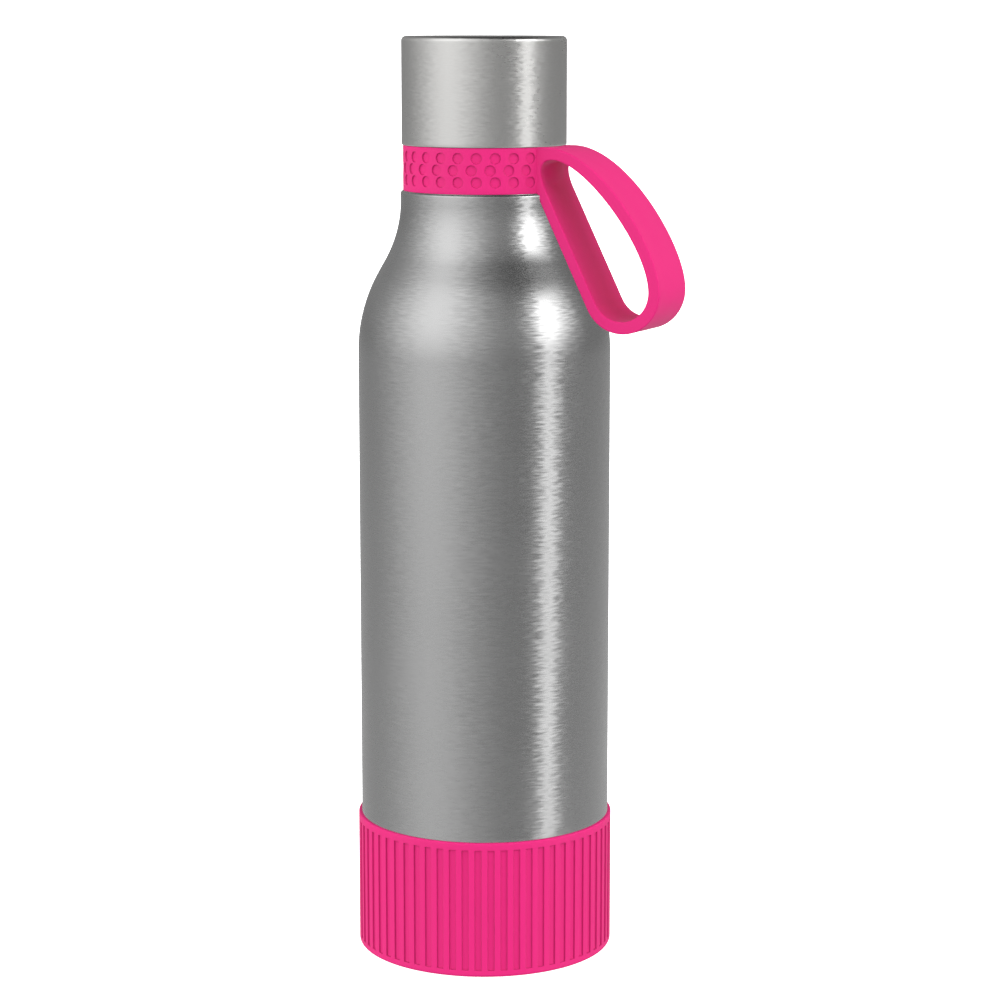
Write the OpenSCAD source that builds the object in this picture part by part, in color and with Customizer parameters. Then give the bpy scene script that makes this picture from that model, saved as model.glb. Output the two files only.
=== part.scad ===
// Vacuum-walled steel drinking bottle with a screw cap, a silicone carry collar and a silicone boot.
// Millimetres. The base stands on z = 0, the bottle's axis is Z and the carry loop points along +X.

/* [Bottle] */
// Outside diameter of the straight body
body_d = 70.2; // [69:0.2:72]
// Height from the table to the top of the cap
overall_h = 256.8; // [252:0.2:262]
// Wall of the outer steel shell
shell_wall = 0.6; // [0.5:0.1:0.8]
// Wall of the inner steel vessel
liner_wall = 0.5; // [0.4:0.1:0.7]
// Width of the vacuum gap between the two walls
vacuum_gap = 2.4; // [2:0.1:3]

/* [Shoulder] */
// Height where the straight body ends
shoulder_z = 170.3; // [169:0.1:171.5]
// Height of the flat step under the silicone collar
shoulder_top_z = 214.7; // [214.2:0.1:215.2]
// Radius of the outward curve that leaves the body
convex_r = 44.7; // [42:0.1:46]
// Radius of the hollow curve that runs up to the neck
concave_r = 33.5; // [32:0.1:35]
// Steepest lean of the shoulder from vertical, in degrees
shoulder_lean = 29.3; // [28:0.1:30]
// Length of the straight stretch between the two curves
shoulder_straight = 4.1; // [3:0.1:5]

/* [Neck and thread] */
// Outside radius of the neck tube
neck_r = 19.6; // [19.4:0.1:19.8]
// Height of the rim that the seal closes on
lip_z = 248; // [247.5:0.1:248.2]
// Distance along the axis between neighbouring thread starts
thread_pitch = 4; // [3.8:0.1:4.2]
// Number of thread starts
thread_starts = 3; // [2:1:3]

/* [Cap] */
// Outside diameter of the steel cap
cap_d = 45.5; // [45:0.1:46.4]
// Height of the cap's lower edge
cap_bottom_z = 227.3; // [227:0.1:227.6]
// Radius of the rounded top edge
cap_top_round = 1.35; // [1:0.05:1.6]
// Wall of the steel cap
cap_wall = 0.5; // [0.4:0.1:0.7]

/* [Collar and carry loop] */
// Outside diameter of the silicone collar
band_d = 44.8; // [44.2:0.1:45.4]
// Width of the carry loop
loop_w = 17.9; // [16:0.1:19]
// Diameter of a grip dimple
dimple_d = 2.9; // [2:0.1:3.2]
// Depth of a grip dimple
dimple_depth = 0.45; // [0.2:0.05:0.5]

/* [Boot] */
// Outside diameter of the silicone boot
boot_d = 72.1; // [71.8:0.1:73]
// Height of the boot
boot_h = 38.4; // [36:0.2:40]
// Thickness of the boot's floor
boot_floor = 1.6; // [1.4:0.1:2]
// Number of upright grooves round the boot
groove_count = 63; // [40:1:70]
// Depth of a groove
groove_depth = 0.5; // [0.3:0.05:0.7]

/* [Hidden] */
$fn = 96;

// Clearances: welds and glued faces, faces that slide, and parts that turn past each other
weld_gap = 0.02;
seat_gap = 0.05;
turn_gap = 0.15;

// Body
body_r = body_d / 2;
step_r = body_r - 0.7;
step_low_z = boot_h + seat_gap;
step_high_z = step_low_z + 0.1;
bottle_base_z = boot_floor + seat_gap;
base_corner_r = 3;
top_edge_r = 0.7;
arc_steps = 14;

// Bottom closing pan, its cover and the parts in the vacuum space
pan_r = 27;
pan_wall = 0.6;
pan_z = 6;
plug_hole_r = 1.6;
plug_head_r = 2.6;
cover_r = pan_r - pan_wall - 0.1;
cover_z = 3;
cover_wall = 0.5;
getter_r = 6;
getter_h = 1.6;
getter_x = 14;

// Inner vessel
liner_r = body_r - shell_wall - vacuum_gap;
liner_floor_z = 10;
liner_corner_r = 6;
liner_shoulder_z = shoulder_z - 2.6;
liner_neck_r = neck_r - shell_wall - 0.6;
liner_flange = 0.6;
liner_curve_width = (convex_r + concave_r) * (1 - cos(shoulder_lean));
liner_straight = (liner_r - liner_neck_r - liner_curve_width) / sin(shoulder_lean);

// Neck tube and thread
neck_weld_z = cap_bottom_z + 2.1;
thread_lead = thread_pitch * thread_starts;
thread_depth = 1.1;
thread_root_w = 2.3;
thread_crest_w = 1.2;
thread_sink = 0.3;
thread_sweep = 140;
thread_steps = 30;
thread_base_z = 234;

// Cap
cap_r = cap_d / 2;
core_r = cap_r - cap_wall - seat_gap;
core_bore_r = neck_r + thread_depth + 0.3;
core_bottom_z = cap_bottom_z + 0.5;
seal_h = 1.6;
seal_z = lip_z + seat_gap;
web_z = seal_z + seal_h + seat_gap;
web_top_z = web_z + 1.2;
plug_r = liner_neck_r - liner_wall - 0.7;
plug_wall = 1.4;
plug_low_z = lip_z - 11;
plug_lid = 1.5;
cap_inner_z = overall_h - cap_wall;
core_ridge_angle = 180 / thread_starts;
core_ridge_z = thread_base_z - thread_pitch / 2 + thread_lead * core_ridge_angle / 360;

// Silicone collar
band_r = band_d / 2;
band_low_z = shoulder_top_z + seat_gap;
band_top_z = cap_bottom_z - seat_gap;
band_bore_r = neck_r + 0.1;
band_edge_r = 0.2;
// Each row of dimples: height, angle of the first one and number in the row
dimple_rows = [[224.4, 28.8, 24], [221.15, 38.4, 23], [217.95, 28.8, 24]];
dimple_step = 13.15;

// Carry loop, drawn in the X-Z plane through the bottle's axis
loop_gap = 0.15;
shoulder_clear = 0.12;
foot = [45.75, 189.05];
foot_r = 11.2;
hole_foot = [45.45, 189.3];
hole_foot_r = 8.15;
leg_angle = 206.5;
strap_start = [23.3, band_top_z];
strap_pull = [15.6, 11.9];
hole_top = [25, band_top_z - 3.35];
hole_pull = [9.6, 11.8];
hole_corner = [23.1, 215.7];
corner_pull = [4.4, 4.4];
strap_cut_r = 24.3;
leg_cut_r = 26.3;
leg_cut_z = 213.5;
root_split_z = 219;
inside_r = 18;

// Boot
boot_r = boot_d / 2;
boot_bore_r = step_r + turn_gap;
boot_round = 0.9;
boot_lip_r = 0.4;
groove_low_z = 2;
groove_high_z = boot_h - 2.1;
groove_w = PI * boot_d / groove_count / 2;

// Points of a circular arc from angle a to angle b
function arc(centre, r, a, b, steps = arc_steps) = [
    for (i = [0 : steps]) centre + r * [cos(a + (b - a) * i / steps), sin(a + (b - a) * i / steps)]
];

// Points of a cubic Bezier curve
function bezier(p, q, r, s, steps = 24) = [
    for (i = [0 : steps]) let (t = i / steps, u = 1 - t)
        u * u * u * p + 3 * u * u * t * q + 3 * u * t * t * r + t * t * t * s
];

function unit(angle) = [cos(angle), sin(angle)];

function reversed(points) = [for (i = [len(points) - 1 : -1 : 0]) points[i]];

// Shoulder outline: out of the straight side at start_z, round the convex curve, up the straight
// stretch and round the hollow curve until trim degrees short of upright. The outline lies grow
// outside the one that side_r and start_z describe.
function shoulder_line(side_r, start_z, straight, grow, trim) =
    let (
        low = [side_r - convex_r, start_z],
        bend = low + (convex_r + grow) * unit(shoulder_lean),
        top = bend + straight * [-sin(shoulder_lean), cos(shoulder_lean)]
    )
    concat(
        arc(low, convex_r + grow, 0, shoulder_lean),
        arc(top + (concave_r - grow) * unit(shoulder_lean), concave_r - grow,
            180 + shoulder_lean, 180 + trim)
    );

// One ridge of a screw thread, which stands out or in from root_r to crest_r and fades at both
// ends. The root sits inside the wall.
module thread_ridge(root_r, crest_r, start_angle, start_z) {
    function fade(i) = min(1, 0.15 + 0.3 * min(i, thread_steps - i));
    function ring(i) =
        let (
            angle = start_angle + thread_sweep * i / thread_steps,
            z = start_z + thread_lead * thread_sweep / 360 * i / thread_steps,
            k = fade(i),
            tip_r = root_r + (crest_r - root_r) * k,
            root = thread_root_w / 2,
            crest = thread_crest_w / 2
        )
        [for (p = [[root_r, -root], [tip_r, -crest], [tip_r, crest], [root_r, root]])
            [p[0] * cos(angle), p[0] * sin(angle), z + p[1] * k]];
    points = [for (i = [0 : thread_steps]) each ring(i)];
    last = 4 * thread_steps;
    walls = [for (i = [0 : thread_steps - 1], j = [0 : 3])
        let (a = 4 * i + j, b = 4 * i + (j + 1) % 4)
        each [[a, b, b + 4], [a, b + 4, a + 4]]];
    ends = [[3, 2, 1], [3, 1, 0], [last, last + 1, last + 2], [last, last + 2, last + 3]];
    faces = [for (f = concat(ends, walls)) crest_r > root_r ? f : reversed(f)];
    polyhedron(points, faces);
}

// All the starts of a thread, from root_r out or in to crest_r
module thread_ridges(root_r, crest_r, first_angle, low_z) {
    for (k = [0 : thread_starts - 1])
        thread_ridge(root_r, crest_r, first_angle + 360 * k / thread_starts, low_z);
}

// Outer steel shell: rolled-in foot, boot recess, straight body, shoulder, step and neck
module outer_shell() {
    edge_z = shoulder_top_z - top_edge_r;
    outside = concat(
        [[pan_r + weld_gap, bottle_base_z]],
        arc([step_r - base_corner_r, bottle_base_z + base_corner_r], base_corner_r, 270, 360),
        [[step_r, step_low_z], [body_r, step_high_z]],
        shoulder_line(body_r, shoulder_z, shoulder_straight, 0, 1.4)
    );
    shoulder_end = outside[len(outside) - 1];
    edge = arc([shoulder_end[0] - top_edge_r, edge_z], top_edge_r, 0, 90, 5);
    inside = concat(
        [[neck_r - shell_wall, neck_weld_z], [neck_r - shell_wall, shoulder_top_z - shell_wall],
         [shoulder_end[0] - shell_wall - 0.1, shoulder_top_z - shell_wall]],
        reversed(shoulder_line(body_r, shoulder_z, shoulder_straight, -shell_wall, 2.6)),
        [[body_r - shell_wall, step_high_z + 0.25], [step_r - shell_wall, step_low_z + 0.25]],
        arc([step_r - base_corner_r, bottle_base_z + base_corner_r],
            base_corner_r - shell_wall, 360, 270),
        [[pan_r + weld_gap, bottle_base_z + shell_wall]]
    );
    color("silver") rotate_extrude() polygon(concat(
        outside, edge,
        [[neck_r, shoulder_top_z], [neck_r, neck_weld_z]],
        inside
    ));
}

// Pan welded into the foot of the shell, with the hole through which the air is drawn out
module outer_bottom() {
    skirt_r = pan_r - pan_wall;
    color("darkgray") rotate_extrude() polygon([
        [plug_hole_r, pan_z], [skirt_r, pan_z], [skirt_r, bottle_base_z], [pan_r, bottle_base_z],
        [pan_r, pan_z + pan_wall], [plug_hole_r, pan_z + pan_wall]
    ]);
}

// Sealing plug of the evacuation hole
module vacuum_plug() {
    stem_r = plug_hole_r - weld_gap;
    head_top = pan_z - weld_gap;
    color("dimgray") rotate_extrude() polygon([
        [0, pan_z - 0.9], [plug_head_r, pan_z - 0.9], [plug_head_r, head_top],
        [stem_r, head_top], [stem_r, pan_z + 1.2], [0, pan_z + 1.2]
    ]);
}

// Plain steel disc that covers the sealed hole
module bottom_cover() {
    rim_r = cover_r - cover_wall;
    color("silver") rotate_extrude() polygon([
        [0, cover_z], [cover_r, cover_z], [cover_r, pan_z - 0.3], [rim_r, pan_z - 0.3],
        [rim_r, cover_z + cover_wall], [0, cover_z + cover_wall]
    ]);
}

// Gas-absorbing pellet in the vacuum space
module getter() {
    color("dimgray") translate([getter_x, 0, pan_z + pan_wall + weld_gap])
        cylinder(r = getter_r, h = getter_h);
}

// Inner vessel: side, shoulder, neck and the flange that joins the rim
module inner_liner() {
    low_z = liner_floor_z + liner_corner_r + weld_gap;
    flange_r = neck_r - shell_wall - weld_gap;
    color("gainsboro") rotate_extrude() polygon(concat(
        [[liner_r, low_z]],
        shoulder_line(liner_r, liner_shoulder_z, liner_straight, 0, 0),
        [[liner_neck_r, lip_z - liner_flange], [flange_r, lip_z - liner_flange],
         [flange_r, lip_z], [liner_neck_r - liner_wall, lip_z]],
        reversed(shoulder_line(liner_r, liner_shoulder_z, liner_straight, -liner_wall, 0)),
        [[liner_r - liner_wall, low_z]]
    ));
}

// Dished floor of the inner vessel
module liner_bottom() {
    centre = [liner_r - liner_corner_r, liner_floor_z + liner_corner_r];
    color("gainsboro") rotate_extrude() polygon(concat(
        [[0, liner_floor_z]], arc(centre, liner_corner_r, 270, 360, 8),
        arc(centre, liner_corner_r - liner_wall, 360, 270, 8),
        [[0, liner_floor_z + liner_wall]]
    ));
}

// Threaded tube that forms the neck and the rim
module neck_ring() {
    low_z = neck_weld_z + weld_gap;
    color("silver") union() {
        difference() {
            translate([0, 0, low_z]) cylinder(r = neck_r, h = lip_z - low_z);
            translate([0, 0, low_z - 1]) cylinder(r = neck_r - shell_wall, h = lip_z - low_z + 2);
        }
        thread_ridges(neck_r - thread_sink, neck_r + thread_depth, 0, thread_base_z);
    }
}

// Drawn steel cap with a rounded top edge and a rolled lower edge
module cap_shell() {
    inner_r = cap_r - cap_wall;
    inner_round = cap_top_round - cap_wall;
    roll = cap_wall / 2;
    color("silver") rotate_extrude() polygon(concat(
        arc([cap_r - roll, cap_bottom_z + roll], roll, 180, 360, 8),
        arc([cap_r - cap_top_round, overall_h - cap_top_round], cap_top_round, 0, 90, 8),
        [[0, overall_h], [0, cap_inner_z]],
        arc([inner_r - inner_round, cap_inner_z - inner_round], inner_round, 90, 0, 6)
    ));
}

// Moulded cap core: threaded skirt, web over the seal and the tube of the insulating plug
module cap_core() {
    tube_r = plug_r - plug_wall;
    low_z = plug_low_z + plug_lid + weld_gap;
    color("dimgray") union() {
        rotate_extrude() polygon([
            [core_bore_r, core_bottom_z], [core_r, core_bottom_z], [core_r, web_top_z],
            [tube_r, web_top_z], [tube_r, low_z], [plug_r, low_z],
            [plug_r, web_z], [core_bore_r, web_z]
        ]);
        thread_ridges(core_bore_r + thread_sink, core_bore_r - thread_depth,
            core_ridge_angle, core_ridge_z);
    }
}

// Lid welded under the insulating plug
module plug_base() {
    spigot_r = plug_r - plug_wall - weld_gap;
    color("dimgray") rotate_extrude() polygon([
        [0, plug_low_z], [plug_r, plug_low_z], [plug_r, plug_low_z + plug_lid],
        [spigot_r, plug_low_z + plug_lid], [spigot_r, plug_low_z + plug_lid + 2],
        [spigot_r - 1.2, plug_low_z + plug_lid + 2], [spigot_r - 1.2, plug_low_z + plug_lid],
        [0, plug_low_z + plug_lid]
    ]);
}

// Foam that fills the plug and the space under the cap's top
module cap_foam() {
    floor_z = plug_low_z + plug_lid + weld_gap;
    spigot_z = floor_z + 2 + weld_gap;
    narrow_r = plug_r - plug_wall - 1.2 - 2 * weld_gap;
    tube_r = plug_r - plug_wall - weld_gap;
    wide_r = core_r - 1.2;
    color("white") rotate_extrude() polygon([
        [0, floor_z], [narrow_r, floor_z], [narrow_r, spigot_z], [tube_r, spigot_z],
        [tube_r, web_top_z + weld_gap], [wide_r, web_top_z + weld_gap],
        [wide_r, cap_inner_z - weld_gap], [0, cap_inner_z - weld_gap]
    ]);
}

// Silicone ring that closes on the rim
module mouth_seal() {
    inner_r = plug_r + 0.1;
    outer_r = core_bore_r - 0.2;
    color("gray") translate([0, 0, seal_z]) difference() {
        cylinder(r = outer_r, h = seal_h);
        translate([0, 0, -1]) cylinder(r = inner_r, h = seal_h + 2);
    }
}

// Outline of the loop and of its roots, without the finger opening
module loop_outline() {
    leg_end = foot + foot_r * unit(leg_angle);
    leg_slope = tan(leg_angle - 180);
    leg_top_z = leg_end[1] + (leg_end[0] - inside_r) / leg_slope;
    strap_end = foot + [foot_r, 0];
    polygon(concat(
        [[inside_r, band_top_z]],
        bezier(strap_start, strap_start + [strap_pull[0], 0],
            strap_end + [0, strap_pull[1]], strap_end),
        arc(foot, foot_r, 360, leg_angle, 20),
        [[inside_r, leg_top_z]]
    ));
}

// The finger opening, with its rounded corner against the collar
module loop_opening() {
    right = hole_foot + [hole_foot_r, 0];
    along_leg = corner_pull[0] * unit(leg_angle - 90);
    polygon(concat(
        bezier(hole_top, hole_top + [hole_pull[0], 0], right + [0, hole_pull[1]], right),
        arc(hole_foot, hole_foot_r, 360, leg_angle, 16),
        bezier(hole_corner, hole_corner + along_leg, hole_top - [corner_pull[1], 0], hole_top, 10)
    ));
}

// Space that the loop leaves free over the shoulder
module shoulder_space() {
    line = shoulder_line(body_r, shoulder_z, shoulder_straight, shoulder_clear, 1);
    low_z = shoulder_z - 20;
    rotate_extrude() polygon(concat(
        [[0, low_z], [body_r + shoulder_clear, low_z]],
        line,
        [[line[len(line) - 1][0], band_low_z], [0, band_low_z]]
    ));
}

// The silicone of the loop and its roots, cut to the region that the children draw
module loop_silicone() {
    difference() {
        translate([0, loop_w / 2, 0]) rotate([90, 0, 0]) linear_extrude(loop_w) intersection() {
            difference() {
                loop_outline();
                loop_opening();
            }
            children();
        }
        shoulder_space();
    }
}

// Stretchy collar round the neck, with grip dimples and the two roots of the loop
module neck_band() {
    color("deeppink") difference() {
        union() {
            rotate_extrude() polygon(concat(
                [[inside_r, band_low_z]],
                arc([band_r - band_edge_r, band_low_z + band_edge_r], band_edge_r, 270, 360, 4),
                arc([band_r - band_edge_r, band_top_z - band_edge_r], band_edge_r, 0, 90, 4),
                [[inside_r, band_top_z]]
            ));
            loop_silicone() union() {
                translate([0, root_split_z]) square([strap_cut_r, band_top_z - root_split_z]);
                translate([0, leg_cut_z]) square([leg_cut_r, root_split_z - leg_cut_z]);
            }
        }
        translate([0, 0, leg_cut_z - 1]) cylinder(r = band_bore_r, h = band_top_z);
        for (row = dimple_rows, i = [0 : row[2] - 1])
            rotate([0, 0, row[1] + i * dimple_step]) translate([band_r - dimple_depth, 0, row[0]])
                rotate([0, 90, 0]) cylinder(d = dimple_d, h = 2, $fn = 24);
    }
}

// Carry loop, from its cut at the upper root round to its cut at the lower root
module carry_loop() {
    reach = 2 * foot[0];
    color("deeppink") loop_silicone() union() {
        translate([strap_cut_r + loop_gap, root_split_z]) square([reach, band_top_z]);
        translate([leg_cut_r + loop_gap, 0]) square([reach, band_top_z]);
        square([reach, leg_cut_z - loop_gap]);
    }
}

// Grooved boot that the bottle stands in
module boot() {
    corner = bottle_base_z - seat_gap + base_corner_r;
    color("deeppink") difference() {
        rotate_extrude() polygon(concat(
            [[0, 0]],
            arc([boot_r - boot_round, boot_round], boot_round, 270, 360, 6),
            arc([boot_r - boot_lip_r, boot_h - boot_lip_r], boot_lip_r, 0, 90, 4),
            [[boot_bore_r, boot_h]],
            arc([boot_bore_r - base_corner_r, corner], base_corner_r, 360, 270, 8),
            [[0, boot_floor]]
        ));
        for (i = [0 : groove_count - 1])
            rotate([0, 0, (i + 0.5) * 360 / groove_count])
                translate([boot_r - groove_depth, -groove_w / 2, groove_low_z])
                    cube([2, groove_w, groove_high_z - groove_low_z]);
    }
}

outer_shell();
outer_bottom();
bottom_cover();
vacuum_plug();
getter();
inner_liner();
liner_bottom();
neck_ring();
cap_shell();
cap_core();
plug_base();
cap_foam();
mouth_seal();
neck_band();
carry_loop();
boot();
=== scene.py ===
"""Looks of a vacuum-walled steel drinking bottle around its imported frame.

The steel shell, neck, cap and mouth seal are fine lathe meshes, the silicone collar, carry loop and
boot are modelled surfaces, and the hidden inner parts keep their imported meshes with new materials.
Lengths in this file are millimetres until solid() turns them into metres. Angles are degrees.
"""

from math import atan2, cos, degrees, hypot, pi, radians, sin, sqrt, tan

import bpy
import bmesh
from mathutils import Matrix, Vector


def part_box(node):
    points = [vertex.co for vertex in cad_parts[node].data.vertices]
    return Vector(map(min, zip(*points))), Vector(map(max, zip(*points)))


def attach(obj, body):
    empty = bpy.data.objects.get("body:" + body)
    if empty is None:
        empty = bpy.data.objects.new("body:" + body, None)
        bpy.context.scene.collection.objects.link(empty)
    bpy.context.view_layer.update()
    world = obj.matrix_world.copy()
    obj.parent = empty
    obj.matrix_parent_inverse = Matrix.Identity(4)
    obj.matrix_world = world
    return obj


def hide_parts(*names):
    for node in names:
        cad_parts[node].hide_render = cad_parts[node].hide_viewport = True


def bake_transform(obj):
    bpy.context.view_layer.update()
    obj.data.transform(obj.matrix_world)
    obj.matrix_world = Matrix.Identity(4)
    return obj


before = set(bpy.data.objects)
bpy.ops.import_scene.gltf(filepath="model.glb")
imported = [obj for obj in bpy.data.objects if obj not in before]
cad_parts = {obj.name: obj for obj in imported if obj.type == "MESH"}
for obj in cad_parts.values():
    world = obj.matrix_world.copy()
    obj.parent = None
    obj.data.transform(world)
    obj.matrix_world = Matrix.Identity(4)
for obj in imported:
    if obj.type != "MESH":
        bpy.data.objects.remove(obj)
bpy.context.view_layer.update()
MM = 0.001


def span(node):
    """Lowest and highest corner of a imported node, in millimetres."""
    low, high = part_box(node)
    return low / MM, high / MM


# Sizes that the frame gives
SHELL_LOW, SHELL_HIGH = span("outer_shell")
NECK_LOW, NECK_HIGH = span("neck_ring")
CAP_LOW, CAP_HIGH = span("cap_shell")
SEAL_LOW, SEAL_HIGH = span("mouth_seal")
BAND_LOW, BAND_HIGH = span("neck_band")
BOOT_HIGH = span("boot")[1]

BODY_R = SHELL_HIGH.x
BASE_Z = SHELL_LOW.z
CAP_R = CAP_HIGH.x
BOOT_R = BOOT_HIGH.y
BOOT_H = BOOT_HIGH.z

# Outer shell
WALL = 0.6
FOOT_R = BODY_R - 0.7
FOOT_CORNER_R = 3
FOOT_HOLE_R = 27.02
STEP_LOW_Z = BOOT_H + 0.05
STEP_EDGE_R = 0.05
SHOULDER_Z = 170.3
CONVEX_R = 44.7
CONCAVE_R = 33.5
LEAN = 29.3
STRAIGHT = 4.1
LEDGE_Z = 214.7
LEDGE_EDGE_R = 0.7

# Neck and its three-start thread
NECK_R = 19.6
LIP_R = 0.28
THREAD_STARTS = 3
THREAD_LEAD = 12
THREAD_BASE_Z = 234
THREAD_SWEEP = 140
THREAD_FADE = 14
THREAD_DEPTH = 1.1
THREAD_ROOT_W = 2.3
THREAD_CREST_W = 1.2
NECK_TURNS = 240
NECK_ROWS = 118
WELD_RISE = 2.1

# Cap
CAP_WALL = 0.5
CAP_ROUND_R = 1.35

# Mouth seal
SEAL_BORE_R = 15.9
SEAL_EDGE_R = 0.35

# Collar
BAND_R = -BAND_LOW.y
BAND_LOW_Z = LEDGE_Z + 0.05
BAND_TOP_Z = BAND_HIGH.z
BAND_BORE_R = NECK_R + 0.1
BAND_EDGE_R = 0.2
BORE_EDGE_R = 0.3
DIMPLE_R = 1.45
DIMPLE_DEPTH = 0.45
DIMPLE_STEP = 13.15
DIMPLE_FIRST = 28.8
DIMPLE_ROWS = ((217.95, 0, 24), (221.15, 8, 23), (224.4, 0, 24))
CELL_COLUMNS = 11
CELL_ROWS = 7
PLAIN_COLUMNS = 37

# Carry loop, in the plane of the bottle's axis and +X
LOOP_W = 17.9
LOOP_EDGE_R = 0.3
FOOT = (45.75, 189.05)
FOOT_OUT_R = 11.2
HOLE_FOOT = (45.45, 189.3)
HOLE_FOOT_R = 8.15
LEG_ANGLE = 206.5
STRAP_START = (23.3, BAND_TOP_Z)
STRAP_PULL = (15.6, 11.9)
HOLE_TOP = (25, BAND_TOP_Z - 3.35)
HOLE_PULL = (9.6, 11.8)
HOLE_CORNER = (23.1, 215.7)
CORNER_PULL = (4.4, 4.4)
SHOULDER_CLEAR = 0.12
ROOT_X = 19
ROOT_BACK_R = 20.4

# Boot
BOOT_FLOOR = 1.6
BOOT_BORE_R = FOOT_R + 0.15
BOOT_ROUND_R = 0.9
BOOT_LIP_R = 0.4
BOOT_LIP_IN_R = 0.2
GROOVES = 63
GROOVE_DEPTH = 0.5
GROOVE_LOW_Z = 2
GROOVE_HIGH_Z = BOOT_H - 2.1

# Camera and the direction it looks from
VIEW_AZIMUTH = 27
VIEW_PITCH = 9.815
CAMERA_PLACE = (0.35585, -0.68883, 0.2620)
LENS_MM = 100.65
SENSOR_MM = 36

# Floor and backdrop, in metres: half the floor's side, the bend behind it and the wall's top
FLOOR_HALF = 6.0
BEND_START = 1.5
BEND_R = 1.5
WALL_TOP = 5.0

# Streaks of the brushing: how many fit round the axis, how many in a metre, and noise detail
FINE_MARKS = (16, 3400, 1)
BROAD_MARKS = (12, 2200, 0)
PATCH_MARKS = (1.2, 40, 1)
PATCH_SPREAD = 0.02

# How far painted shade darkens the walls of grooves and dimples
PAINTED_RECESS_SHADE = 0.28


def arc(centre, radius, start, end, steps):
    """Points of a circular arc from one angle to another."""
    turns = (radians(start + (end - start) * i / steps) for i in range(steps + 1))
    return [(centre[0] + radius * cos(t), centre[1] + radius * sin(t)) for t in turns]


def bezier(p, q, r, s, steps):
    """Points of a cubic Bezier curve."""
    points = []
    for i in range(steps + 1):
        t = i / steps
        u = 1 - t
        weights = (u * u * u, 3 * u * u * t, 3 * u * t * t, t * t * t)
        points.append(tuple(sum(w * c[k] for w, c in zip(weights, (p, q, r, s))) for k in (0, 1)))
    return points


def line(p, q, steps):
    """Points of a straight line."""
    return [(p[0] + (q[0] - p[0]) * i / steps, p[1] + (q[1] - p[1]) * i / steps)
            for i in range(steps + 1)]


def smooth(t):
    """0 below 0, 1 above 1 and an even ramp between them."""
    t = min(1, max(0, t))
    return t * t * (3 - 2 * t)


def shoulder_line(grow, trim, steps=24):
    """The shoulder's outline from the straight side up to the neck, grow outside the steel."""
    low = (BODY_R - CONVEX_R, SHOULDER_Z)
    out = (cos(radians(LEAN)), sin(radians(LEAN)))
    bend = (low[0] + (CONVEX_R + grow) * out[0], low[1] + (CONVEX_R + grow) * out[1])
    top = (bend[0] - STRAIGHT * out[1], bend[1] + STRAIGHT * out[0])
    hollow_r = CONCAVE_R - grow
    hollow = (top[0] + hollow_r * out[0], top[1] + hollow_r * out[1])
    convex = arc(low, CONVEX_R + grow, 0, LEAN, steps)
    return convex + arc(hollow, hollow_r, 180 + LEAN, 180 + trim, steps)


def shoulder_radius(z):
    """Radius of the shoulder with the loop's clearance at a height."""
    points = shoulder_line(SHOULDER_CLEAR, 1)
    for (r0, z0), (r1, z1) in zip(points, points[1:]):
        if z0 <= z <= z1:
            return r0 + (r1 - r0) * (z - z0) / max(z1 - z0, 1e-9)
    return points[0][0] if z < points[0][1] else points[-1][0]


# Mesh making


def solid(name, points, faces, sharp=40, recess=None):
    """Smooth-shaded closed mesh from points in millimetres, with its normals outward. Recess says
    how much painted shade each point gets in the wall of a groove or dimple, from 0 to 1."""
    mesh = bpy.data.meshes.new(name)
    mesh.from_pydata([Vector(p) * MM for p in points], [], faces)
    if recess:
        mesh.attributes.new("recess", "FLOAT", "POINT").data.foreach_set("value", recess)
    work = bmesh.new()
    work.from_mesh(mesh)
    bmesh.ops.recalc_face_normals(work, faces=work.faces)
    work.to_mesh(mesh)
    work.free()
    mesh.shade_smooth()
    mesh.set_sharp_from_angle(angle=radians(sharp))
    piece = bpy.data.objects.new(name, mesh)
    bpy.context.scene.collection.objects.link(piece)
    return piece


def painted_shade_of(share):
    """How much painted shade a point gets in the wall of a groove or dimple, from its share of the full
    depth.
    """
    return min(1, 7 * share * (1 - share))


def skin(name, rings, recess=None):
    """Closed mesh over rings of points, from the last ring back to the first. A ring of one point
    is a pole."""
    points, starts = [], []
    for ring in rings:
        starts.append(len(points))
        points.extend(ring)
    count = max(len(ring) for ring in rings)
    faces = []
    for a, ring in enumerate(rings):
        b = (a + 1) % len(rings)
        for i in range(count):
            j = (i + 1) % count
            corners = [starts[a] + i % len(ring), starts[a] + j % len(ring),
                       starts[b] + j % len(rings[b]), starts[b] + i % len(rings[b])]
            corners = list(dict.fromkeys(corners))
            if len(corners) > 2:
                faces.append(corners)
    return solid(name, points, faces, recess=recess)


def circle(radius, z, angles):
    """Points at a height round the axis, or one point where the radius is nothing."""
    if radius < 1e-6:
        return [(0, 0, z)]
    return [(radius * cos(a), radius * sin(a), z) for a in angles]


def lathe(name, outline, turns=288):
    """Solid of revolution from a closed outline of radius and height."""
    angles = [2 * pi * i / turns for i in range(turns)]
    return skin(name, [circle(r, z, angles) for r, z in outline])


# Steel pieces


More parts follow.
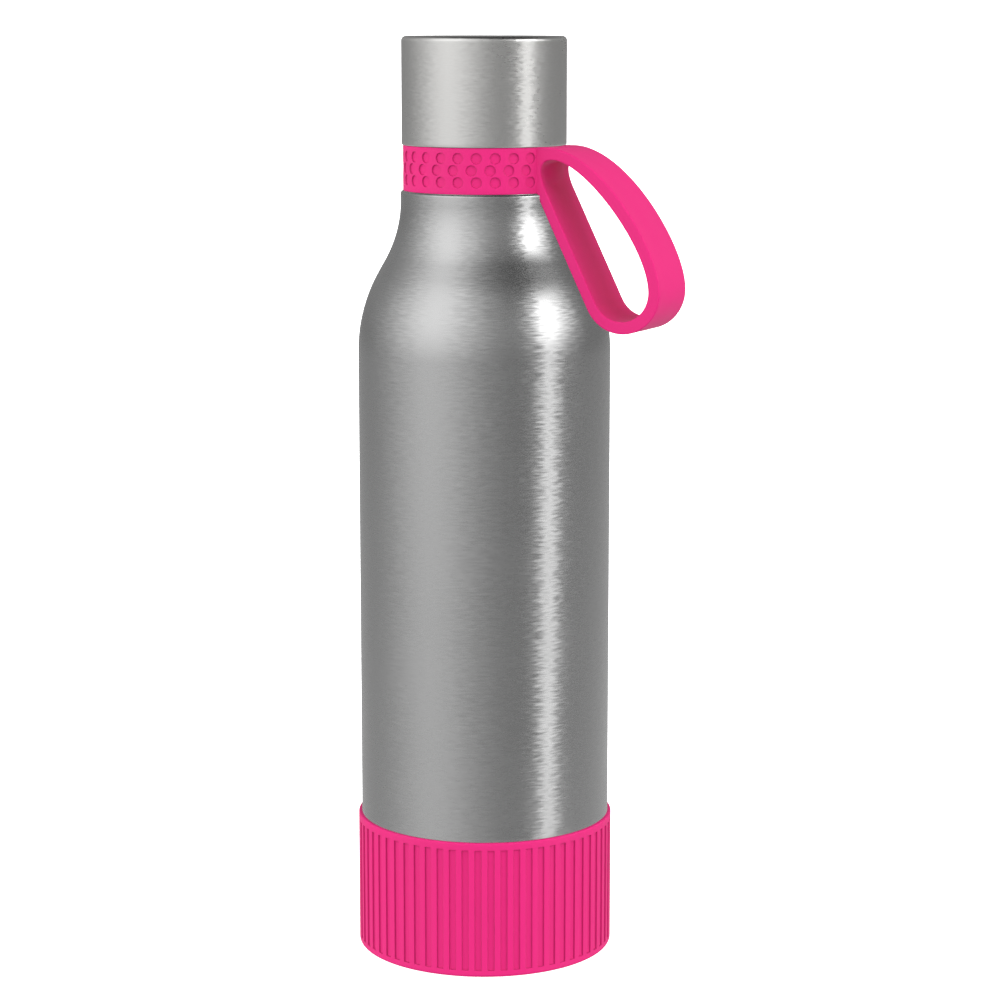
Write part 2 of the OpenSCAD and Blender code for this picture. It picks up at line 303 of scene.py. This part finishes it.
def make_shell():
    """Outer shell with its foot, the recess for the boot, shoulder, ledge and neck."""
    corner = (FOOT_R - FOOT_CORNER_R, BASE_Z + FOOT_CORNER_R)
    step_top = STEP_LOW_Z + STEP_EDGE_R
    outer = shoulder_line(0, 1.4)
    ledge_r = outer[-1][0]
    edge = arc((ledge_r - LEDGE_EDGE_R, LEDGE_Z - LEDGE_EDGE_R), LEDGE_EDGE_R, 0, 90, 10)
    weld_z = CAP_LOW.z + WELD_RISE
    outline = [(FOOT_HOLE_R, BASE_Z)]
    outline += arc(corner, FOOT_CORNER_R, 270, 360, 14)
    outline += [(FOOT_R, STEP_LOW_Z - 0.3), (FOOT_R, STEP_LOW_Z)]
    outline += arc((BODY_R - STEP_EDGE_R, step_top), STEP_EDGE_R, 270, 360, 5)
    outline += line((BODY_R, step_top + 1), outer[0], 12)[:-1]
    outline += outer + edge
    outline += [(NECK_R + 0.2, LEDGE_Z), (NECK_R, LEDGE_Z + 0.2), (NECK_R, weld_z)]
    outline += [(NECK_R - WALL, weld_z), (NECK_R - WALL, LEDGE_Z - WALL)]
    outline += [(ledge_r - WALL - 0.1, LEDGE_Z - WALL)]
    outline += shoulder_line(-WALL, 2.6)[::-1]
    outline += [(BODY_R - WALL, step_top + 0.25), (FOOT_R - WALL, STEP_LOW_Z + 0.25)]
    outline += arc(corner, FOOT_CORNER_R - WALL, 360, 270, 10)
    outline += [(FOOT_HOLE_R, BASE_Z + WALL)]
    return lathe("steel_shell", outline)


def thread_height(angle, z):
    """How far the thread stands out of the neck at an angle and a height."""
    height = 0
    for start in range(THREAD_STARTS):
        along = (angle - 360 * start / THREAD_STARTS) % 360
        if along > THREAD_SWEEP:
            continue
        off = abs(z - THREAD_BASE_Z - THREAD_LEAD * along / 360)
        flank = (THREAD_ROOT_W / 2 - off) / ((THREAD_ROOT_W - THREAD_CREST_W) / 2)
        ends = min(along, THREAD_SWEEP - along) / THREAD_FADE
        height = max(height, THREAD_DEPTH * smooth(flank) * smooth(ends))
    return height


def make_neck():
    """Neck tube with rolled rim and thread."""
    angles = [360 * i / NECK_TURNS for i in range(NECK_TURNS)]
    low_z = NECK_LOW.z
    inner_r = NECK_R - WALL
    straight_top = NECK_HIGH.z - LIP_R
    rings = []
    for i in range(NECK_ROWS + 1):
        z = low_z + (straight_top - low_z) * i / NECK_ROWS
        radii = [NECK_R + thread_height(a, z) for a in angles]
        rings.append([(r * cos(radians(a)), r * sin(radians(a)), z) for r, a in zip(radii, angles)])
    rim = arc((NECK_R - LIP_R, straight_top), LIP_R, 15, 90, 5)
    rim += arc((inner_r + LIP_R, straight_top), LIP_R, 90, 180, 6)
    inside = line((inner_r, straight_top - 1), (inner_r, low_z), 4)
    rings += [circle(r, z, [radians(a) for a in angles]) for r, z in rim + inside]
    return skin("threaded_neck", rings)


def make_cap():
    """Drawn cap with a rounded top edge and a rolled lower edge."""
    top_z, low_z = CAP_HIGH.z, CAP_LOW.z
    roll = CAP_WALL / 2
    inner_r = CAP_R - CAP_WALL
    inner_round = CAP_ROUND_R - CAP_WALL
    round_at = (CAP_R - CAP_ROUND_R, top_z - CAP_ROUND_R)
    outline = arc((CAP_R - roll, low_z + roll), roll, 180, 360, 10)
    outline += line((CAP_R, low_z + 1), (CAP_R, round_at[1] - 0.5), 10)
    outline += arc(round_at, CAP_ROUND_R, 0, 90, 12)
    outline += line((round_at[0] - 1, top_z), (0, top_z), 8)
    outline += [(0, top_z - CAP_WALL)]
    outline += arc((inner_r - inner_round, top_z - CAP_WALL - inner_round), inner_round, 90, 0, 8)
    return lathe("steel_cap", outline)


def make_seal():
    """Mouth seal: a soft ring with rounded edges."""
    edge = SEAL_EDGE_R
    outer_r, inner_r = SEAL_HIGH.x - edge, SEAL_BORE_R + edge
    low_z, top_z = SEAL_LOW.z + edge, SEAL_HIGH.z - edge
    outline = arc((outer_r, low_z), edge, 270, 360, 5)
    outline += arc((outer_r, top_z), edge, 0, 90, 5)
    outline += arc((inner_r, top_z), edge, 90, 180, 5)
    outline += arc((inner_r, low_z), edge, 180, 270, 5)
    return lathe("mouth_seal_ring", outline, 192)


# Silicone pieces


def band_columns():
    """Angles of the collar's mesh columns: whole cells round the dimples, then the plain stretch."""
    first = DIMPLE_FIRST - DIMPLE_STEP / 2
    cells = DIMPLE_ROWS[0][2]
    fine = [first + DIMPLE_STEP / CELL_COLUMNS * i for i in range(cells * CELL_COLUMNS)]
    plain_start = first + DIMPLE_STEP * cells
    plain = (360 + first - plain_start) / PLAIN_COLUMNS
    return fine + [plain_start + plain * i for i in range(PLAIN_COLUMNS)]


def band_outline():
    """The collar's section, and where in it each row of dimples starts."""
    half = (DIMPLE_ROWS[1][0] - DIMPLE_ROWS[0][0]) / 2
    edge_in = BAND_R - BAND_EDGE_R
    outline = arc((edge_in, BAND_LOW_Z + BAND_EDGE_R), BAND_EDGE_R, 270, 360, 6)
    row_starts = []
    for z, _, _ in DIMPLE_ROWS:
        row_starts.append(len(outline))
        outline += line((BAND_R, z - half), (BAND_R, z + half), CELL_ROWS)[:-1]
    outline += [(BAND_R, DIMPLE_ROWS[-1][0] + half)]
    outline += arc((edge_in, BAND_TOP_Z - BAND_EDGE_R), BAND_EDGE_R, 0, 90, 6)
    bore_in = BAND_BORE_R + BORE_EDGE_R
    outline += arc((bore_in, BAND_TOP_Z - BORE_EDGE_R), BORE_EDGE_R, 90, 180, 4)
    outline += arc((bore_in, BAND_LOW_Z + BORE_EDGE_R), BORE_EDGE_R, 180, 270, 4)
    return outline, row_starts


# A dimple's edge: distance out of its wall and share of its depth
DIMPLE_EDGE = ((0.16, 0), (0.06, 0.05), (0.02, 0.2), (-0.02, 0.8), (-0.08, 0.95), (-0.25, 1),
               (-DIMPLE_R / 2, 1))


def dimple(points, recess, faces, border, angle, z):
    """Round recess inside a border of point numbers, centred at an angle and a height."""
    rings = [border]
    for grow, share in DIMPLE_EDGE:
        ring = []
        for number in border:
            x, y, height = points[number]
            along = (degrees(atan2(y, x)) - angle + 180) % 360 - 180
            side, up = radians(along) * BAND_R, height - z
            length = hypot(side, up)
            turn = radians(angle) + side / length * (DIMPLE_R + grow) / BAND_R
            radius = BAND_R - DIMPLE_DEPTH * share
            rise = up / length * (DIMPLE_R + grow)
            ring.append(len(points))
            # Share of painted shade for this point of the dimple's wall.
            recess.append(painted_shade_of(share))
            points.append((radius * cos(turn), radius * sin(turn), z + rise))
        rings.append(ring)
    radius = BAND_R - DIMPLE_DEPTH
    centre = len(points)
    points.append((radius * cos(radians(angle)), radius * sin(radians(angle)), z))
    recess.append(painted_shade_of(1))
    for outer, inner in zip(rings, rings[1:]):
        for i in range(len(border)):
            j = (i + 1) % len(border)
            faces.append([outer[i], outer[j], inner[j], inner[i]])
    last = rings[-1]
    faces += [[last[i], last[(i + 1) % len(last)], centre] for i in range(len(last))]


def make_band():
    """Collar with three staggered rows of round grip dimples."""
    columns = band_columns()
    outline, row_starts = band_outline()
    count = len(columns)
    points = [(r * cos(radians(a)), r * sin(radians(a)), z) for r, z in outline for a in columns]
    recess = [0.0] * len(points)

    def at(row, column):
        return (row % len(outline)) * count + column % count

    faces, taken = [], set()
    for (z, shift, number), row in zip(DIMPLE_ROWS, row_starts):
        for k in range(number):
            first = shift + k * CELL_COLUMNS
            last = first + CELL_COLUMNS
            border = [at(row, c) for c in range(first, last)]
            border += [at(r, last) for r in range(row, row + CELL_ROWS)]
            border += [at(row + CELL_ROWS, c) for c in range(last, first, -1)]
            border += [at(r, first) for r in range(row + CELL_ROWS, row, -1)]
            angle = columns[first] + DIMPLE_STEP / 2
            dimple(points, recess, faces, border, angle, z)
            taken |= {(r, c) for r in range(row, row + CELL_ROWS) for c in range(first, last)}
    for row in range(len(outline)):
        for column in range(count):
            if (row, column) not in taken:
                faces.append([at(row, column), at(row, column + 1),
                              at(row + 1, column + 1), at(row + 1, column)])
    return solid("collar_band", points, faces, recess=recess)


def loop_stations():
    """Pairs of points round the loop: one on its outer outline, one on the finger opening."""
    lean = radians(LEG_ANGLE)
    leg_end = (FOOT[0] + FOOT_OUT_R * cos(lean), FOOT[1] + FOOT_OUT_R * sin(lean))
    leg_top_x = leg_end[0] - (BAND_LOW_Z - 0.02 - leg_end[1]) * tan(radians(LEG_ANGLE - 180))
    strap_end = (FOOT[0] + FOOT_OUT_R, FOOT[1])
    hole_right = (HOLE_FOOT[0] + HOLE_FOOT_R, HOLE_FOOT[1])
    leg_lean = (cos(lean - pi / 2), sin(lean - pi / 2))
    corner_out = (HOLE_CORNER[0] + CORNER_PULL[0] * leg_lean[0],
                  HOLE_CORNER[1] + CORNER_PULL[0] * leg_lean[1])
    hole_leg = arc(HOLE_FOOT, HOLE_FOOT_R, 360, LEG_ANGLE, 40)
    under = BAND_LOW_Z + 0.02
    over = BAND_TOP_Z - 0.02
    outer = bezier(STRAP_START, (STRAP_START[0] + STRAP_PULL[0], STRAP_START[1]),
                   (strap_end[0], strap_end[1] + STRAP_PULL[1]), strap_end, 56)[:-1]
    outer += arc(FOOT, FOOT_OUT_R, 360, LEG_ANGLE, 40)[:-1]
    outer += line(leg_end, (leg_top_x, BAND_LOW_Z - 0.02), 60)
    outer += line((leg_top_x, under), (ROOT_X, under), 6)[:-1]
    outer += line((ROOT_X, under), (ROOT_X, over), 12)[:-1]
    outer += line((ROOT_X, over), (BAND_R - BAND_EDGE_R, over), 4)[:-1]
    outer += line((BAND_R - BAND_EDGE_R, over), (STRAP_START[0] - 0.3, BAND_TOP_Z), 3)
    hole = bezier(HOLE_TOP, (HOLE_TOP[0] + HOLE_PULL[0], HOLE_TOP[1]),
                  (hole_right[0], hole_right[1] + HOLE_PULL[1]), hole_right, 56)[:-1]
    hole += hole_leg[:-1]
    hole += line(hole_leg[-1], HOLE_CORNER, 60)
    hole += bezier(HOLE_CORNER, corner_out, (HOLE_TOP[0] - CORNER_PULL[1], HOLE_TOP[1]), HOLE_TOP,
                   len(outer) - len(hole))[1:]
    return list(zip(outer, hole))


def loop_section(outer, hole):
    """Points round the loop's section at one station, as far along from outer to hole and across."""
    deep = hypot(hole[0] - outer[0], hole[1] - outer[1])
    half = LOOP_W / 2
    e = LOOP_EDGE_R
    across, inward = 12, 14
    flat = [(0, -half + e + (LOOP_W - 2 * e) * i / across) for i in range(across)]
    side = [(s, half) for s, _ in line((e, 0), (deep - e, 0), inward)]
    near_round = [(e + e * x, half - e + e * y) for x, y in arc((0, 0), 1, 180, 90, 4)][:-1]
    far_round = [(deep - e + e * x, half - e + e * y) for x, y in arc((0, 0), 1, 90, 0, 4)][1:]
    upper = near_round + side + far_round
    back = [(deep, -y) for _, y in flat][1:]
    lower = [(s, -y) for s, y in reversed(upper)]
    return [(s / deep, y) for s, y in flat + upper + back + lower[:-1]]


def make_loop():
    """Carry loop with rounded edges, whose root ends inside the collar."""
    rings = []
    for outer, hole in loop_stations():
        ring = []
        for share, y in loop_section(outer, hole):
            x = outer[0] + (hole[0] - outer[0]) * share
            z = outer[1] + (hole[1] - outer[1]) * share
            if z < BAND_LOW_Z:
                least = shoulder_radius(z)
            else:
                least = BAND_R + 0.05 if share > 0.5 else ROOT_BACK_R
            if hypot(x, y) < least:
                x = sqrt(least ** 2 - y ** 2)
            ring.append((x, y, z))
        rings.append(ring)
    return skin("carry_strap", rings)


# Cross-section of a groove's edge: distance out of the groove's wall and share of its depth
GROOVE_EDGE = ((-0.26, 1), (-0.09, 0.96), (-0.02, 0.84), (0.02, 0.16), (0.08, 0.04), (0.2, 0))


def boot_columns():
    """Angle and share of the groove depth for each column of the boot's mesh."""
    pitch = 2 * pi * BOOT_R / GROOVES
    edge = [(pitch / 4 + out, share) for out, share in GROOVE_EDGE]
    profile = [(-u, share) for u, share in reversed(edge)] + [(0, 1)] + edge + [(pitch / 2, 0)]
    return [((k + 0.5) * 2 * pi / GROOVES + u / BOOT_R, share)
            for k in range(GROOVES) for u, share in profile]


def boot_rows():
    """Radius, height and share of the groove depth for each row of the boot's outside."""
    rows = [(r, z, 0) for r, z in
            arc((BOOT_R - BOOT_ROUND_R, BOOT_ROUND_R), BOOT_ROUND_R, 270, 360, 10)]
    rows += [(BOOT_R, GROOVE_LOW_Z - out, share) for out, share in reversed(GROOVE_EDGE)]
    rows += [(BOOT_R, z, 1) for _, z in line((0, GROOVE_LOW_Z), (0, GROOVE_HIGH_Z), 12)[1:-1]]
    rows += [(BOOT_R, GROOVE_HIGH_Z + out, share) for out, share in GROOVE_EDGE]
    rows += [(r, z, 0) for r, z in
             arc((BOOT_R - BOOT_LIP_R, BOOT_H - BOOT_LIP_R), BOOT_LIP_R, 0, 90, 7)]
    return rows


def make_boot():
    """Boot with upright grooves, a rounded foot and a rounded lip."""
    columns = boot_columns()
    angles = [a for a, _ in columns]
    rings = [circle(0, 0, angles), circle(BOOT_R / 2, 0, angles)]
    recess = [0.0] * (1 + len(angles))
    for r, z, sunk in boot_rows():
        depths = [GROOVE_DEPTH * sunk * share for _, share in columns]
        rings.append([((r - d) * cos(a), (r - d) * sin(a), z) for d, a in zip(depths, angles)])
        # Share of painted shade for each point of the groove walls in this row.
        recess += [painted_shade_of(d / GROOVE_DEPTH) for d in depths]
    corner = (BOOT_BORE_R - FOOT_CORNER_R, BOOT_FLOOR + FOOT_CORNER_R)
    inside = arc((BOOT_BORE_R + BOOT_LIP_IN_R, BOOT_H - BOOT_LIP_IN_R), BOOT_LIP_IN_R, 90, 180, 4)
    inside += line((BOOT_BORE_R, BOOT_H - 2), (BOOT_BORE_R, corner[1] + 2), 4)
    inside += arc(corner, FOOT_CORNER_R, 360, 270, 10)
    inside += [(BOOT_BORE_R / 2, BOOT_FLOOR), (0, BOOT_FLOOR)]
    rings += [circle(r, z, angles) for r, z in inside]
    recess += [0.0] * (sum(len(ring) for ring in rings) - len(recess))
    return skin("grooved_boot", rings, recess)


# Materials


class Graph:
    """A material's or a world's nodes, with short calls to add and join them."""

    def __init__(self, owner):
        owner.use_nodes = True
        self.tree = owner.node_tree
        self.tree.nodes.clear()

    def add(self, kind, inputs=None, **settings):
        """A node with its settings. Inputs are plain values or the sockets that feed them."""
        node = self.tree.nodes.new(kind)
        for name, value in settings.items():
            setattr(node, name, value)
        for name, value in (inputs or {}).items():
            if isinstance(value, bpy.types.NodeSocket):
                self.tree.links.new(value, node.inputs[name])
            else:
                node.inputs[name].default_value = value
        return node

    def math(self, operation, a, b=0.0):
        return self.add("ShaderNodeMath", {0: a, 1: b}, operation=operation).outputs[0]

    def vector(self, operation, a, b=(0, 0, 0)):
        node = self.add("ShaderNodeVectorMath", {0: a, 1: b}, operation=operation)
        return node.outputs["Value" if operation in ("LENGTH", "DOT_PRODUCT") else "Vector"]

    def ramp(self, value, low, high, to_low=0.0, to_high=1.0):
        """A value carried from one range to another, and held at its ends."""
        inputs = {"Value": value, "From Min": low, "From Max": high,
                  "To Min": to_low, "To Max": to_high}
        return self.add("ShaderNodeMapRange", inputs).outputs["Result"]

    def curve(self, value, stops):
        """A level that runs straight from stop to stop, each a value and the level there."""
        level = stops[0][1]
        for (a, low), (b, high) in zip(stops, stops[1:]):
            level = self.math("ADD", self.ramp(value, a, b, 0.0, high - low), level)
        return level

    def noise(self, place, scale, detail=2.0, roughness=0.5):
        inputs = {"Vector": place, "Scale": scale, "Detail": detail, "Roughness": roughness}
        return self.add("ShaderNodeTexNoise", inputs).outputs["Fac"]

    def mix(self, share, a, b):
        """A colour between two others."""
        node = self.add("ShaderNodeMix", {"Factor": share}, data_type="RGBA")
        for name, value in (("A", a), ("B", b)):
            socket = next(s for s in node.inputs if s.name == name and s.type == "RGBA")
            if isinstance(value, bpy.types.NodeSocket):
                self.tree.links.new(value, socket)
            else:
                socket.default_value = value
        return next(s for s in node.outputs if s.type == "RGBA")

    def finish(self, shader, kind="ShaderNodeOutputMaterial"):
        self.tree.links.new(shader.outputs[0], self.add(kind).inputs["Surface"])


def grey(value):
    return (value, value, value, 1)


def shade(colour, factor):
    """A colour made lighter or darker."""
    return tuple(min(1, c * factor) for c in colour[:3]) + (1,)


def turned_place(graph):
    """Coordinates for marks that a lathe leaves: direction round the axis in x and y, and distance
    along the outline in z, in metres."""
    place = graph.add("ShaderNodeTexCoord").outputs["Object"]
    flat = graph.vector("MULTIPLY", place, (1, 1, 0))
    radius = graph.vector("LENGTH", flat)
    parts = graph.add("ShaderNodeSeparateXYZ", {"Vector": place})
    along = graph.math("SUBTRACT", parts.outputs["Z"], radius)
    return graph.vector("NORMALIZE", flat), along


def brush_marks(graph, around, along, turns, fineness, detail):
    """Streaks round the axis: turns sets how many fit round it, fineness how many fit in a metre."""
    stretched = graph.vector("MULTIPLY", around, (turns, turns, 0))
    rise = graph.add("ShaderNodeCombineXYZ", {"Z": graph.math("MULTIPLY", along, fineness)})
    place = graph.vector("ADD", stretched, rise.outputs["Vector"])
    return graph.noise(place, 1.0, detail, 0.6)


def brushed_steel(name, colour, roughness=0.275, anisotropy=0.3, turn=0.25, spread=0.02, sway=0.14):
    """Stainless steel brushed round the axis. Turn lays the stretch of the highlights along the
    axis at 0.25 and round it at 0. Each streak leans a little to one side by sway, which frays the
    ends of the highlights, and its roughness differs by up to spread."""
    material = bpy.data.materials.new(name)
    graph = Graph(material)
    around, along = turned_place(graph)
    fine = brush_marks(graph, around, along, *FINE_MARKS)
    broad = brush_marks(graph, around, along, *BROAD_MARKS)
    patch = brush_marks(graph, around, along, *PATCH_MARKS)
    sheen = graph.ramp(fine, 0.3, 0.7, roughness - spread, roughness + spread)
    sheen = graph.math("ADD", sheen, graph.ramp(patch, 0.3, 0.7, -PATCH_SPREAD, PATCH_SPREAD))
    tone = graph.mix(graph.ramp(fine, 0.3, 0.7), shade(colour, 0.98), shade(colour, 1.02))
    tangent = graph.add("ShaderNodeTangent", direction_type="RADIAL", axis="Z").outputs["Tangent"]
    lean = graph.math("MULTIPLY", graph.math("SUBTRACT", broad, 0.5), sway)
    normal = graph.add("ShaderNodeNewGeometry").outputs["Normal"]
    swayed = graph.vector("ADD", normal, graph.vector("MULTIPLY", tangent, lean))
    shader = graph.add("ShaderNodeBsdfPrincipled", {
        "Base Color": tone,
        "Metallic": 1.0,
        "Roughness": sheen,
        "Normal": graph.vector("NORMALIZE", swayed),
        "Anisotropic": anisotropy,
        "Anisotropic Rotation": turn,
        "Tangent": tangent,
    })
    graph.finish(shader)
    return material


def silicone(name, colour, roughness=0.5):
    """Matte moulded silicone with a fine mould grain, faint bloom and painted shade in recesses."""
    material = bpy.data.materials.new(name)
    graph = Graph(material)
    place = graph.add("ShaderNodeTexCoord").outputs["Object"]
    grain = graph.noise(place, 5200, 3, 0.6)
    bloom = graph.noise(place, 70, 3, 0.55)
    tone = graph.mix(graph.ramp(bloom, 0.3, 0.7), shade(colour, 0.985), shade(colour, 1.01))
    # Painted shade: the recess attribute darkens the walls of grooves and dimples towards black.
    recess = graph.add("ShaderNodeAttribute", attribute_name="recess").outputs["Fac"]
    tone = graph.mix(graph.math("MULTIPLY", recess, PAINTED_RECESS_SHADE), tone, grey(0.0))
    sheen = graph.ramp(bloom, 0.3, 0.7, roughness - 0.04, roughness + 0.04)
    bump = graph.add("ShaderNodeBump", {"Height": grain, "Strength": 0.1, "Distance": 0.00002})
    shader = graph.add("ShaderNodeBsdfPrincipled", {
        "Base Color": tone,
        "Roughness": sheen,
        "Specular IOR Level": 0.2,
        "Normal": bump.outputs["Normal"],
    })
    graph.finish(shader)
    return material


def grained(name, colour, roughness, scale, depth, metallic=0.0):
    """Plain moulded or pressed material with a fine grain."""
    material = bpy.data.materials.new(name)
    graph = Graph(material)
    place = graph.add("ShaderNodeTexCoord").outputs["Object"]
    grain = graph.noise(place, scale, 4, 0.6)
    tone = graph.mix(graph.ramp(grain, 0.3, 0.7), shade(colour, 0.92), shade(colour, 1.06))
    sheen = graph.ramp(grain, 0.3, 0.7, roughness - 0.06, roughness + 0.06)
    bump = graph.add("ShaderNodeBump", {"Height": grain, "Strength": 0.3, "Distance": depth})
    shader = graph.add("ShaderNodeBsdfPrincipled", {
        "Base Color": tone,
        "Metallic": metallic,
        "Roughness": sheen,
        "Normal": bump.outputs["Normal"],
    })
    graph.finish(shader)
    return material


def dress(piece, material):
    """Gives an object one material. Pieces of pink silicone don't show in the steel."""
    piece.data.materials.clear()
    piece.data.materials.append(material)
    piece.visible_glossy = not material.name.startswith("pink")


# Stage


def from_view(azimuth, elevation=0):
    """Unit vector towards a direction, azimuth to the right of the camera as seen from the bottle."""
    turn = radians(VIEW_AZIMUTH + azimuth)
    rise = radians(elevation)
    return Vector((sin(turn) * cos(rise), -cos(turn) * cos(rise), sin(rise)))


def lobe(graph, level, azimuth, sharpness):
    """Soft bell of light round an azimuth, from the level direction that a ray takes."""
    facing = graph.vector("DOT_PRODUCT", level, tuple(from_view(azimuth)))
    return graph.math("EXPONENT", graph.math("MULTIPLY", graph.math("SUBTRACT", facing, 1.0), sharpness))


# Lights of the surround: azimuth, sharpness, and brightness at stops of the ray's rise
LIGHTS = (
    (-50, 2.9, ((-0.26, 0.39), (-0.12, 0.59), (0.0, 0.86), (0.3, 1.2), (0.7, 1.2), (0.82, 0.8),
                (0.9, 0.08))),
    (61.1, 125, ((-0.26, 1.4), (-0.12, 1.75), (-0.06, 1.9), (-0.02, 0.95), (0.03, 1.0), (0.1, 1.6),
                 (0.3, 2.0), (0.51, 2.3), (0.57, 0.0))),
    (70, 18, ((0.02, 0.0), (0.1, 0.9), (0.2, 2.0), (0.51, 2.4), (0.57, 0.0))),
    (165, 0.8, ((-0.26, 0.38), (-0.12, 0.27), (-0.03, 0.16), (0.1, 0.16), (0.4, 0.1), (0.7, 0.03))),
)
# Brightness of the surround between the lights, at stops of the ray's rise
SURROUND = ((-0.6, 0.3), (-0.27, 0.15), (-0.1, 0.105), (0.0, 0.1), (0.15, 0.16), (0.6, 0.16),
            (0.8, 0.06), (0.9, 0.02))

# Fill lights: name, azimuth, elevation, strength and spread
FILLS = (
    ("fill_front", 0, 15, 0.88, 90),
    ("fill_left", -86, 15, 1.6, 90),
    ("fill_right", 90, 5, 0.95, 90),
    ("fill_top", 50, 55, 1.4, 60),
    ("fill_back", 180, 30, 1.2, 120),
)


def make_world():
    """Grey studio surround with a wide soft light on the left and a narrow one on the right. It is
    plain white where the camera sees it behind the floor's edge."""
    world = bpy.data.worlds.new("studio")
    bpy.context.scene.world = world
    graph = Graph(world)
    way = graph.add("ShaderNodeTexCoord").outputs["Generated"]
    rise = graph.add("ShaderNodeSeparateXYZ", {"Vector": way}).outputs["Z"]
    level = graph.vector("NORMALIZE", graph.vector("MULTIPLY", way, (1, 1, 0)))
    total = graph.curve(rise, SURROUND)
    for azimuth, sharpness, stops in LIGHTS:
        bell = lobe(graph, level, azimuth, sharpness)
        total = graph.math("ADD", total, graph.math("MULTIPLY", bell, graph.curve(rise, stops)))
    seen = graph.add("ShaderNodeLightPath").outputs["Is Camera Ray"]
    colour = graph.mix(seen, total, grey(1.0))
    shader = graph.add("ShaderNodeBackground", {"Color": colour, "Strength": 1.0})
    graph.finish(shader, "ShaderNodeOutputWorld")


def make_fill(name, azimuth, elevation, strength, spread):
    """Broad light that evens out the matte surfaces and leaves no reflection."""
    light = bpy.data.lights.new(name, "SUN")
    light.energy = strength
    light.angle = radians(spread)
    lamp = bpy.data.objects.new(name, light)
    lamp.rotation_mode = "QUATERNION"
    lamp.rotation_quaternion = from_view(azimuth, elevation).to_track_quat("Z", "Y")
    lamp.visible_glossy = False
    bpy.context.scene.collection.objects.link(lamp)


def make_floor():
    """White seamless floor and backdrop, which neither lights the bottle nor shows in the steel."""
    profile = [(-FLOOR_HALF, 0.0), (0.0, 0.0)]
    profile += arc((BEND_START, BEND_R), BEND_R, 270, 360, 16)
    profile += [(BEND_START + BEND_R, WALL_TOP)]
    points, faces = [], []
    for along, z in profile:
        place = from_view(180) * along
        for side in (-FLOOR_HALF, FLOOR_HALF):
            points.append(place + from_view(90) * side + Vector((0, 0, z)))
    for i in range(len(profile) - 1):
        faces.append([2 * i, 2 * i + 1, 2 * i + 3, 2 * i + 2])
    mesh = bpy.data.meshes.new("floor")
    mesh.from_pydata(points, [], faces)
    mesh.shade_smooth()
    floor = bpy.data.objects.new("floor", mesh)
    bpy.context.scene.collection.objects.link(floor)
    material = bpy.data.materials.new("pale_floor")
    graph = Graph(material)
    graph.finish(graph.add("ShaderNodeBsdfPrincipled", {
        "Base Color": grey(0.9),
        "Roughness": 1.0,
        "Specular IOR Level": 0.0,
        "Emission Color": grey(1.0),
        "Emission Strength": 1.0,
    }))
    floor.data.materials.append(material)
    floor.visible_glossy = False
    floor.visible_diffuse = False
    floor.visible_shadow = False


def make_camera():
    data = bpy.data.cameras.new("camera")
    data.lens = LENS_MM
    data.sensor_width = SENSOR_MM
    camera = bpy.data.objects.new("camera", data)
    camera.location = CAMERA_PLACE
    camera.rotation_euler = (radians(90 - VIEW_PITCH), 0, radians(VIEW_AZIMUTH))
    bpy.context.scene.collection.objects.link(camera)
    bpy.context.scene.camera = camera


make_camera()
make_floor()
make_world()
for fill in FILLS:
    make_fill(*fill)
bpy.context.scene.view_settings.view_transform = "Standard"

# The bottle's materials

shell_steel = brushed_steel("shell_steel", (0.52, 0.52, 0.52))
cap_steel = brushed_steel("cap_steel", (0.74, 0.735, 0.72), 0.3, 0.35, 0.0)
plain_steel = brushed_steel("plain_steel", (0.58, 0.58, 0.57), 0.4, 0.5)
liner_steel = brushed_steel("liner_steel", (0.66, 0.66, 0.65), 0.25, 0.3)
pink = silicone("pink_silicone", (0.69, 0.016, 0.176))
seal_rubber = silicone("seal_silicone", (0.70, 0.70, 0.69), 0.55)
core_plastic = grained("core_plastic", (0.05, 0.05, 0.055), 0.45, 900, 0.00003)
foam = grained("foam", (0.85, 0.84, 0.80), 0.9, 1800, 0.0002)
sealing_metal = grained("sealing_metal", (0.24, 0.24, 0.25), 0.6, 2400, 0.00005, 1.0)

# Pieces: what makes each, the body it rides on, the nodes it stands for, its slot and material

PIECES = (
    (make_shell, "bottle", "outer_shell", "shell_steel", shell_steel),
    (make_neck, "bottle", "neck_ring", "plain_steel", plain_steel),
    (make_cap, "cap", "cap_shell", "cap_steel", cap_steel),
    (make_seal, "cap_carrier", "mouth_seal", "seal_silicone", seal_rubber),
    (make_band, "collar", "neck_band", "pink_silicone", pink),
    (make_boot, "boot", "boot", "pink_silicone", pink),
)
for make, body, node, slot, material in PIECES:
    piece = make()
    dress(piece, material)
    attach(piece, body)
    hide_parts(node)

loop = make_loop()
dress(loop, pink)
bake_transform(loop)
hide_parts("carry_loop")

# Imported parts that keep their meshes

KEPT = {
    "outer_bottom": plain_steel,
    "bottom_cover": plain_steel,
    "vacuum_plug": sealing_metal,
    "getter": sealing_metal,
    "inner_liner": liner_steel,
    "liner_bottom": liner_steel,
    "cap_core": core_plastic,
    "plug_base": core_plastic,
    "cap_foam": foam,
}
for node, material in KEPT.items():
    dress(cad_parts[node], material)
